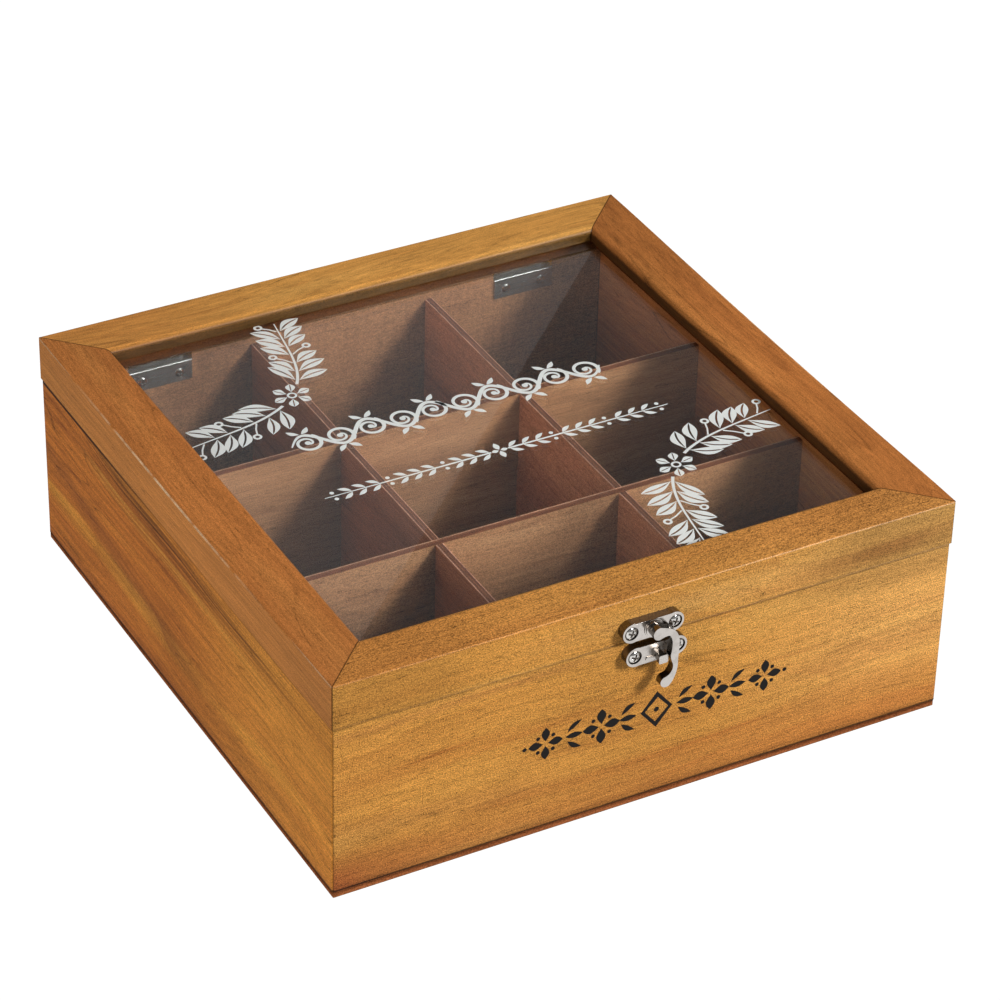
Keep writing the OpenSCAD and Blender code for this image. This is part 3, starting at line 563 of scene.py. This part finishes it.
def clasp_material(name, faces=(), screw=None, rough=0.12):
    """Nickel of the clasp, with painted shade. faces holds the (lowest, highest) y of the levels that keep the bright
    colour; the seats below them and the side walls are painted dark as shade.
    screw holds the place of a pair of screw heads: middle x, z and the y of the heads' rim; off the domed heads the
    colour is painted dark as shade."""
    g = Graph(name)
    p, x, y, z = g.position()
    fine = g.noise(p, 2.4, 3.0, 0.6)
    slow = g.noise(p, 0.35, 2.0, 0.5)
    tc = g.add("ShaderNodeTexCoord")
    sep = g.add("ShaderNodeSeparateXYZ")
    g.put(sep.inputs[0], tc.outputs["Normal"])
    if screw:
        cx, cz, rim = screw
        dx = g.m("SUBTRACT", g.m("ABSOLUTE", g.m("SUBTRACT", x, cx)), 8.4)
        dz = g.m("SUBTRACT", z, cz)
        r2 = g.m("ADD", g.m("MULTIPLY", dx, dx), g.m("MULTIPLY", dz, dz))
        dome = g.m("MULTIPLY_ADD", r2, 0.7 / 4.62, rim - 0.7)
        flat = g.step(g.m("SUBTRACT", y, dome), 0.32, 0.16)
        flat = g.m("MULTIPLY", flat, g.step(r2, 4.5, 3.9))
    else:
        flat = g.step(g.m("ABSOLUTE", sep.outputs[1]), 0.72, 0.97)
        level = 0.0
        for lo, hi in faces:
            level = g.m("MAXIMUM", level, plateau(g, y, lo, hi))
        flat = g.m("MULTIPLY", flat, level)
    worn = g.m("MULTIPLY", g.step(slow, 0.42, 0.66), 0.55)
    bright = (0.88, 0.85, 0.81) if screw else (0.75, 0.70, 0.655)
    # painted shade: everything off the bright faces takes the dark colour
    col = g.mix(flat, (0.17, 0.15, 0.13), bright)
    col = g.mix(g.m("MULTIPLY", worn, flat), col, (0.60, 0.55, 0.51))
    r = g.sum(rough, g.m("MULTIPLY", worn, 0.12), g.m("MULTIPLY_ADD", fine, 0.05, -0.025))
    b = g.principled(col, r, g.bump(g.sum(fine, g.m("MULTIPLY", slow, 2.0)), 0.10, 0.0002), Metallic=1.0)
    return g.output(b.outputs[0])


mats["glass"] = glass_material()
mats["clasp"] = clasp_material("clasp_nickel", ((-124.6, -123.2),))
mats["catch"] = clasp_material("catch_nickel", ((-123.5, -122.7), (-126.6, -126.1)), rough=0.27)
mats["hook"] = clasp_material("hook_nickel", ((-127.6, -127.1),))
mats["clasp_screw"] = clasp_material("clasp_screw_nickel", screw=(-2.2, 76.1, -123.15))
mats["catch_screw"] = clasp_material("catch_screw_nickel", screw=(-0.2, 65.4, -122.65))
mats["nickel"] = nickel_material()
mats["hinge"] = nickel_material("hinge_steel", (0.68, 0.67, 0.655), 0.16, 0.04, metal=0.92)
mats["print_black"] = print_material("black_print", srgb(30, 28, 27), 0.7, 0.1)
mats["print_white"] = print_material("white_print", srgb(236, 238, 234), 0.5)

node_mats = {
    "wall_front": "front", "wall_rear": "rear", "wall_left": "side", "wall_right": "side", "base_panel": "base",
    "divider_x_front": "ply_xf", "divider_x_rear": "ply_xr", "divider_y_left": "ply_yl", "divider_y_right": "ply_yr",
    "hinge_left_case_leaf": "hinge", "hinge_right_case_leaf": "hinge", "hinge_left_pin": "hinge", "hinge_right_pin": "hinge",
    "hinge_case_screws": "nickel", "catch_plate": "catch", "catch_screws": "catch_screw",
    "lid_frame_front": "lid_front", "lid_frame_rear": "lid_rear", "lid_frame_left": "lid_left", "lid_frame_right": "lid_right",
    "glass_pane": "glass", "glass_bead_front": "bead_x", "glass_bead_rear": "bead_x", "glass_bead_left": "bead_y", "glass_bead_right": "bead_y",
    "hinge_left_lid_leaf": "hinge", "hinge_right_lid_leaf": "hinge", "hinge_lid_screws": "nickel",
    "clasp_plate": "clasp", "clasp_screws": "clasp_screw", "clasp_hook": "hook",
}

# edge rounding per node, in mm
bevels = {
    "glass_pane": 0.0,
    "clasp_hook": 0.6, "clasp_plate": 0.35, "catch_plate": 0.35, "clasp_screws": 0.10, "catch_screws": 0.10,
    "hinge_lid_screws": 0.06, "hinge_case_screws": 0.06,
    "hinge_left_pin": 0.15, "hinge_right_pin": 0.15,
    "hinge_left_case_leaf": 0.10, "hinge_right_case_leaf": 0.10, "hinge_left_lid_leaf": 0.10, "hinge_right_lid_leaf": 0.10,
    "divider_x_front": 0.15, "divider_x_rear": 0.15, "divider_y_left": 0.15, "divider_y_right": 0.15,
}

for name, obj in N.items():
    obj.data.materials.clear()
    obj.data.materials.append(mats[node_mats[name]])
    width = bevels.get(name, 0.10)
    if name != "glass_pane":
        obj.data.shade_smooth()
        weld = obj.modifiers.new("weld", "WELD")
        weld.merge_threshold = 0.000002
        if width:
            bev = obj.modifiers.new("edge", "BEVEL")
            bev.width = width * MM
            bev.segments = 4 if width > 0.3 else 2
            bev.limit_method = "ANGLE"
            bev.angle_limit = math.radians(35)
            bev.use_clamp_overlap = True
            bev.harden_normals = False
            bev.miter_outer = "MITER_ARC"
        wn = obj.modifiers.new("normals", "WEIGHTED_NORMAL")
        wn.keep_sharp = True
        wn.weight = 60
    else:
        obj.data.shade_flat()

# ------------------------------------------------------------------ printed ornaments
# Flat closed strips, each a run of left and right points.


class Strips:
    def __init__(self):
        self.items = []

    def strip(self, left, right, closed=False):
        self.items.append((left, right, closed))

    def ribbon(self, pts, width, closed=False):
        """A band along a line of points; width is a number or one number for each point."""
        n = len(pts)
        left, right = [], []
        for i in range(n):
            a = pts[(i - 1) % n] if closed else pts[max(i - 1, 0)]
            b = pts[(i + 1) % n] if closed else pts[min(i + 1, n - 1)]
            d = Vector((b[0] - a[0], b[1] - a[1]))
            d.normalize()
            w = (width[i] if isinstance(width, (list, tuple)) else width) / 2
            q = Vector((-d.y, d.x)) * w
            left.append((pts[i][0] + q.x, pts[i][1] + q.y))
            right.append((pts[i][0] - q.x, pts[i][1] - q.y))
        self.strip(left, right, closed)

    def ring(self, c, r, w, n=36, squeeze=1.0, thin=None):
        """A ring of mean radius r; thin is the band's width at the top and bottom."""
        pts = [(c[0] + r * squeeze * math.cos(2 * math.pi * i / n), c[1] + r * math.sin(2 * math.pi * i / n)) for i in range(n)]
        ws = [w if thin is None else thin + (w - thin) * abs(math.cos(2 * math.pi * i / n)) for i in range(n)]
        self.ribbon(pts, ws, True)

    def disc(self, c, r, n=20):
        up = [(c[0] - r * math.cos(math.pi * i / n), c[1] + r * math.sin(math.pi * i / n)) for i in range(n + 1)]
        dn = [(c[0] - r * math.cos(math.pi * i / n), c[1] - r * math.sin(math.pi * i / n)) for i in range(n + 1)]
        self.strip(up, dn)

    def leaf(self, a, b, w, n=12, bow=0.0, fat=0.5, slit=0.0):
        """A leaf from a to b, w wide. fat moves the widest place; slit leaves a gap along the rib."""
        a, b = Vector(a), Vector(b)
        d = b - a
        q = Vector((-d.y, d.x)).normalized()
        up, mid_u, mid_d, dn = [], [], [], []
        for i in range(n + 1):
            t = i / n
            k = math.sin(math.pi * t ** (math.log(0.5) / math.log(fat)))
            c = a + d * t + q * (bow * math.sin(math.pi * t))
            g = slit / 2 * min(1.0, k * 1.6)
            up.append(tuple(c + q * (w / 2 * k)))
            mid_u.append(tuple(c + q * min(g, w / 2 * k)))
            mid_d.append(tuple(c - q * min(g, w / 2 * k)))
            dn.append(tuple(c - q * (w / 2 * k)))
        if slit:
            self.strip(up, mid_u)
            self.strip(mid_d, dn)
        else:
            self.strip(up, dn)

    def build(self, name, place, thick, mat, body):
        """place maps (u, v, height) in mm to a point in mm."""
        bm = bmesh.new()
        for k, (left, right, closed) in enumerate(self.items):
            n = len(left)
            top = thick + 0.0015 * (k % 17)
            # pinched ends share one point
            rows = []
            for i in range(n):
                l, r = left[i], right[i]
                if math.dist(l, r) < 1e-4:
                    lo = bm.verts.new(Vector(place(*l, 0.0)) * MM)
                    hi = bm.verts.new(Vector(place(*l, top)) * MM)
                    rows.append((lo, hi, lo, hi))
                else:
                    rows.append((bm.verts.new(Vector(place(*l, 0.0)) * MM), bm.verts.new(Vector(place(*l, top)) * MM),
                                 bm.verts.new(Vector(place(*r, 0.0)) * MM), bm.verts.new(Vector(place(*r, top)) * MM)))

            def face(*vs):
                seen = []
                for v in vs:
                    if v not in seen:
                        seen.append(v)
                if len(seen) > 2:
                    bm.faces.new(seen)

            count = n if closed else n - 1
            for i in range(count):
                a, b = rows[i], rows[(i + 1) % n]
                face(a[1], b[1], b[3], a[3])
                face(a[0], a[2], b[2], b[0])
                face(a[0], b[0], b[1], a[1])
                face(a[2], a[3], b[3], b[2])
            if not closed:
                if rows[0][0] is not rows[0][2]:
                    face(rows[0][0], rows[0][1], rows[0][3], rows[0][2])
                if rows[-1][0] is not rows[-1][2]:
                    face(rows[-1][0], rows[-1][2], rows[-1][3], rows[-1][1])
        bmesh.ops.recalc_face_normals(bm, faces=bm.faces[:])
        me = bpy.data.meshes.new(name)
        bm.to_mesh(me)
        bm.free()
        me.materials.append(mats[mat])
        ob = bpy.data.objects.new(name, me)
        bpy.context.scene.collection.objects.link(ob)
        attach(ob, body)
        return ob


# front: a band of small flowers, leaves and lozenges, 103 mm long
art = Strips()
CX, CZ = 3.0, 38.0


def flower(cx, cz, r, w):
    for k in range(4):
        a = math.pi / 2 * k
        art.leaf((cx + 0.9 * math.cos(a), cz + 0.9 * math.sin(a)), (cx + r * math.cos(a), cz + r * math.sin(a)), w, fat=0.55)
        a += math.pi / 4
        art.disc((cx + r * 0.62 * math.cos(a), cz + r * 0.62 * math.sin(a)), 0.75)


def lozenge(cx, cz, hw, hh, t):
    """Upright lozenge with thick and thin sides."""
    o = [(cx, cz + hh), (cx + hw, cz), (cx, cz - hh), (cx - hw, cz)]
    i = [(cx + t * 0.25, cz + hh - t * 1.9), (cx + hw - t * 1.25, cz), (cx - t * 0.25, cz - hh + t * 1.9), (cx - hw + t * 1.25, cz)]
    art.strip([o[0], o[1], o[2], o[3]], [i[0], i[1], i[2], i[3]], True)
    art.disc((cx, cz), 1.0)


lozenge(CX, CZ, 6.2, 7.5, 1.3)
for sgn in (-1, 1):
    for k, off in enumerate((21.5, 43.0)):
        flower(CX + sgn * off, CZ, 7.2 if k == 0 else 6.6, 3.6 if k == 0 else 3.2)
    for off in (11.2, 32.0):
        c = CX + sgn * off
        art.leaf((c - 3.4, CZ), (c + 3.4, CZ), 2.4)
        art.leaf((c - 2.6, CZ + 1.9), (c + 2.8, CZ + 5.6), 1.9, bow=0.5)
        art.leaf((c - 2.6, CZ - 1.9), (c + 2.8, CZ - 5.6), 1.9, bow=-0.5)
    art.disc((CX + sgn * 51.0, CZ), 0.8)
art.build("front_print", lambda u, v, h: (u, -CHALF - 0.01 - h, v), 0.04, "print_black", "case")

# glass: a scroll band, a laurel line and two corner swags
rows = Strips()


def scroll_band(x0, x1, yc, amp, period, width):
    """A waving stem with a spiral curled into each bend."""
    n = int((x1 - x0) / period * 24)
    pts = [(x0 + (x1 - x0) * i / n, yc + amp * math.sin(2 * math.pi * (x1 - x0) * i / n / period)) for i in range(n + 1)]
    rows.ribbon(pts, [width * (0.35 + 0.65 * min(1.0, min(i, n - i) / 8.0)) for i in range(n + 1)])
    halves = int(round((x1 - x0) / period * 2))
    for k in range(halves):
        up = 1 if k % 2 == 0 else -1
        xm = x0 + period / 2 * (k + 0.5)
        r0 = amp * 0.98
        spiral = []
        turns = math.radians(470)
        for i in range(41):
            f = i / 40
            a = math.radians(52) - turns * f
            r = r0 * (1 - f) ** 0.75 + 1.0 * f
            spiral.append((xm + r * math.cos(a), yc + up * (r * math.sin(a) + 0.2)))
        rows.ribbon(spiral, [width * (0.95 - 0.45 * i / 40) for i in range(41)])
        rows.disc((xm + 0.1, yc + up * 0.2), 1.15)
        # two small leaves outside the bend
        y0 = yc + up * (amp + 1.0)
        rows.leaf((xm - 0.4, y0), (xm - 4.2, y0 + up * 3.4), 2.0, bow=0.4 * up)
        rows.leaf((xm + 0.4, y0), (xm + 4.2, y0 + up * 3.4), 2.0, bow=-0.4 * up)


def laurel_line(x0, x1, yc, pitch):
    count = int((x1 - x0) / pitch)
    mid = (x0 + x1) / 2
    for side in (-1, 1):
        rows.ribbon([(mid + side * 3.4, yc), (mid + side * (x1 - x0) / 4, yc), (mid + side * (x1 - x0) / 2, yc)], [0.75, 0.65, 0.3])
        for i in range(count // 2):
            x = mid + side * (4.0 + pitch * i)
            if i % 4 == 3:
                rows.disc((x + side * 1.5, yc + 2.0), 0.8)
                rows.disc((x + side * 1.5, yc - 2.0), 0.8)
            else:
                for v in (-1, 1):
                    rows.leaf((x, yc + v * 0.5), (x + side * 4.2, yc + v * 3.3), 1.75, bow=0.3 * v * side)
    for v in (-1, 1):
        rows.leaf((mid, yc + v * 0.4), (mid, yc + v * 4.8), 2.2)
        rows.leaf((mid + v * 0.4, yc), (mid + v * 3.2, yc), 1.8)


scroll_band(-66.0, 58.0, 20.0, 5.4, 24.8, 1.6)
laurel_line(-70.0, 67.0, -14.0, 5.4)


def swag(cx, cy, sx, sy, radius, rng):
    """Two mirrored sprigs about the corner (cx, cy) that start from a small blossom in the middle."""
    lim = RIM - 0.5

    def pt(t, off=0.0):
        r = radius + off + 2.6 * math.cos(5.0 * (t - math.pi / 4))
        return (cx + sx * r * math.cos(t), cy + sy * r * math.sin(t))

    def inside(*ps):
        return all(abs(q[0]) < lim and abs(q[1]) < lim for q in ps)

    mid = math.pi / 4
    c0 = Vector(pt(mid))
    for k in range(6):
        a = 2 * math.pi * k / 6 + 0.2
        d = Vector((math.cos(a), math.sin(a)))
        rows.leaf(tuple(c0 + d * 2.2), tuple(c0 + d * 7.6), 3.6, fat=0.6, slit=0.45)
    rows.ring(tuple(c0), 1.5, 0.8, 20)
    for way in (-1, 1):
        span = math.radians(40)
        stem = [pt(mid + way * (math.radians(6.5) + span * i / 30)) for i in range(31)]
        stem = [q for q in stem if inside(q)]
        n = len(stem)
        rows.ribbon(stem, [1.15 - 0.75 * i / (n - 1) for i in range(n)])
        steps = 8
        for i in range(steps):
            t = mid + way * (math.radians(8.5) + span * i / steps)
            c = Vector(pt(t))
            d = (Vector(pt(t + way * 0.02)) - c).normalized()
            q = Vector((-d.y, d.x))
            for side in (-1, 1):
                lean = q * side * math.cos(0.66) + d * math.sin(0.66)
                size = 13.6 + rng.uniform(-1.0, 1.4) - 3.2 * i / steps
                a = c + lean * 0.9
                b = c + lean * size
                if (i + (side > 0)) % 4 == 3:
                    # a berry on a stalk
                    e = c + lean * (size * 0.62)
                    if inside(a, e + lean * 2.6):
                        rows.ribbon([tuple(a), tuple(a.lerp(e, 0.5) + d * 0.4), tuple(e)], 0.6)
                        rows.ring(tuple(e + lean * 1.6), 1.25, 0.9, 18)
                elif inside(a, b, c + lean * size * 0.6 + q * 2.6, c + lean * size * 0.6 - q * 2.6):
                    rows.leaf(tuple(a), tuple(b), 5.0 + rng.uniform(-0.4, 0.5), bow=0.9 * side * way, fat=0.56, slit=0.75)


rng = random.Random(7)
swag(-RIM, RIM, 1, -1, 66.0, rng)
swag(RIM, -RIM, -1, 1, 68.0, rng)
rows.build("glass_print", lambda u, v, h: (u, v, GLASS + 0.01 + h), 0.04, "print_white", "lid")

# ------------------------------------------------------------------ floor, lights, camera


def stage_plane(name, pts, mat):
    me = bpy.data.meshes.new(name)
    me.from_pydata([tuple(p) for p in pts], [], [tuple(range(len(pts)))])
    me.materials.append(mat)
    ob = bpy.data.objects.new(name, me)
    bpy.context.scene.collection.objects.link(ob)
    return ob


def direct_mask(g):
    """1 for rays that come straight from the camera, or through the glass."""
    lp = g.add("ShaderNodeLightPath")
    seen = g.m("MAXIMUM", lp.outputs["Is Camera Ray"], lp.outputs["Is Transmission Ray"])
    return g.m("MULTIPLY", seen, g.m("LESS_THAN", g.m("ADD", lp.outputs["Diffuse Depth"], lp.outputs["Glossy Depth"]), 0.5))


def floor_material():
    g = Graph("floor_white")
    em = g.add("ShaderNodeEmission")
    em.inputs["Color"].default_value = (1.0, 1.0, 1.0, 1.0)
    lp = g.add("ShaderNodeLightPath")
    g.put(em.inputs["Strength"], g.sum(0.35, g.m("MULTIPLY", lp.outputs["Is Glossy Ray"], 0.45), g.m("MULTIPLY", direct_mask(g), 0.70)))
    geo = g.add("ShaderNodeNewGeometry")
    tr = g.add("ShaderNodeBsdfTransparent")
    mix = g.add("ShaderNodeMixShader")
    g.put(mix.inputs[0], geo.outputs["Backfacing"])
    g.links.new(em.outputs[0], mix.inputs[1])
    g.links.new(tr.outputs[0], mix.inputs[2])
    return g.output(mix.outputs[0])


stage_plane("floor", [(-6, -6, -0.0002), (6, -6, -0.0002), (6, 6, -0.0002), (-6, 6, -0.0002)], floor_material())

world = bpy.data.worlds.new("studio")
bpy.context.scene.world = world
world.use_nodes = True
wt = world.node_tree
wt.nodes.clear()
bg = wt.nodes.new("ShaderNodeBackground")
bg.inputs["Color"].default_value = (1.0, 1.0, 1.0, 1.0)
lp = wt.nodes.new("ShaderNodeLightPath")


def wmath(op, a, b):
    n = wt.nodes.new("ShaderNodeMath")
    n.operation = op
    for i, v in enumerate((a, b)):
        if isinstance(v, bpy.types.NodeSocket):
            wt.links.new(v, n.inputs[i])
        else:
            n.inputs[i].default_value = v
    return n.outputs[0]


seen = wmath("MAXIMUM", lp.outputs["Is Camera Ray"], lp.outputs["Is Transmission Ray"])
seen = wmath("MULTIPLY", seen, wmath("LESS_THAN", wmath("ADD", lp.outputs["Diffuse Depth"], lp.outputs["Glossy Depth"]), 0.5))
wt.links.new(wmath("ADD", wmath("MULTIPLY", seen, 0.88), 0.178), bg.inputs["Strength"])
wo = wt.nodes.new("ShaderNodeOutputWorld")
wt.links.new(bg.outputs[0], wo.inputs["Surface"])

# the haze that a pale ceiling card lays over the rear left half of the glass
cam_pos = Vector((-0.573497, -1.037737, 0.844364))
mirrored = Vector((cam_pos.x, cam_pos.y, 2 * GLASS * MM - cam_pos.z))


def seen_in_glass(px, py, s=2.0):
    pt = Vector((px * MM, py * MM, GLASS * MM))
    return mirrored + (pt - mirrored) * s


q1 = seen_in_glass(97.9, 94.4)
q2 = seen_in_glass(-97.6, -94.9)
q3 = seen_in_glass(-96.7, 103.9)
along_edge = (q1 - q2).normalized()
away = (q3 - q2) - along_edge * (q3 - q2).dot(along_edge)
away.normalize()
g = Graph("card_light")
em = g.add("ShaderNodeEmission")
em.inputs["Strength"].default_value = 0.46
g.output(em.outputs[0])
card = stage_plane("ceiling_card", [q2 - along_edge * 0.3, q1 + along_edge * 0.3, q1 + along_edge * 0.3 + away * 0.9,
                                    q2 - along_edge * 0.3 + away * 0.9], g.mat)
for flag in ("visible_camera", "visible_diffuse", "visible_transmission", "visible_volume_scatter", "visible_shadow"):
    setattr(card, flag, False)


def area(name, direction, dist, size, strength, shape="SQUARE", glossy=True, target=(0.0, 0.0, 0.05)):
    """strength is the irradiance at the box over pi, so that 1 makes a white face just white."""
    d = Vector(direction).normalized()
    light = bpy.data.lights.new(name, "AREA")
    light.shape = shape
    light.size = size
    light.energy = strength * math.pi * math.pi * dist * dist
    ob = bpy.data.objects.new(name, light)
    ob.location = Vector(target) + d * dist
    ob.rotation_euler = d.to_track_quat("Z", "Y").to_euler()
    ob.visible_glossy = glossy
    ob.visible_camera = False
    ob.visible_transmission = False
    bpy.context.scene.collection.objects.link(ob)
    return ob


area("key", (0.46, -0.71, 0.53), 2.2, 0.50, 0.95, "DISK")
area("fill_left", (-0.93, -0.33, 0.15), 2.2, 1.3, 0.55)
area("fill_top", (0.05, 0.25, 1.0), 2.2, 1.8, 0.06)

cam_data = bpy.data.cameras.new("camera")
cam_data.sensor_width = 36.0
cam_data.lens = 143.149
cam_data.clip_start = 0.02
cam_data.clip_end = 50.0
cam = bpy.data.objects.new("camera", cam_data)
bpy.context.scene.collection.objects.link(cam)
right = Vector((0.879482, -0.475442, 0.021604)).normalized()
back = Vector((-0.406035, -0.725863, 0.555211)).normalized()
up = back.cross(right).normalized()
right = up.cross(back).normalized()
cam.matrix_world = Matrix((
    (right.x, up.x, back.x, cam_pos.x),
    (right.y, up.y, back.y, cam_pos.y),
    (right.z, up.z, back.z, cam_pos.z),
    (0.0, 0.0, 0.0, 1.0)))
scene = bpy.context.scene
scene.camera = cam
scene.view_settings.view_transform = "Standard"
scene.view_settings.look = "None"
scene.view_settings.exposure = 0.0
scene.view_settings.gamma = 1.0
